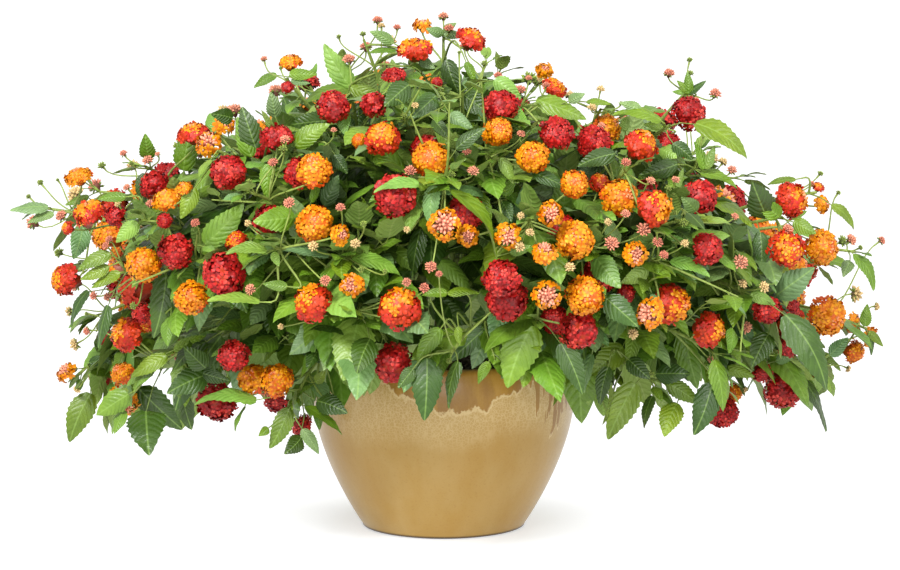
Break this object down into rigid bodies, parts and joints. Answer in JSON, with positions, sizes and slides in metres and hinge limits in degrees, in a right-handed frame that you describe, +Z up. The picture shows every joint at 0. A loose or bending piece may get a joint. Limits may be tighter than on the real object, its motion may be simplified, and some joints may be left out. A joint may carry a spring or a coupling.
{
  "type": "potted lantana",
  "caption": "Bushy flowering shrub with domed flower heads, buds and toothed leaves on woody canes, growing from soil in a round-bellied glazed pot; stands as a patio or garden plant.",
  "frame": {"origin": "centre of the underside of the pot, on the floor", "axes": "+Z up; +X to the viewer's right, along the longest side of the bush; -Y towards the viewer"},
  "size_m": [0.9242, 0.9042, 0.5627],
  "materials": {
    "lantana_growth": "satin",
    "glaze": "gloss",
    "potting_soil": "matte"
  },
  "bodies": {
    "root": {"branch_01": "lantana_growth", "branch_02": "lantana_growth", "branch_03": "lantana_growth", "branch_04": "lantana_growth", "branch_05": "lantana_growth", "branch_06": "lantana_growth", "branch_07": "lantana_growth", "branch_08": "lantana_growth", "branch_09": "lantana_growth", "branch_10": "lantana_growth", "branch_11": "lantana_growth", "branch_12": "lantana_growth", "branch_13": "lantana_growth", "branch_14": "lantana_growth", "branch_15": "lantana_growth", "branch_16": "lantana_growth", "branch_17": "lantana_growth", "pot": "glaze", "soil": "potting_soil"}
  },
  "joints": []
}
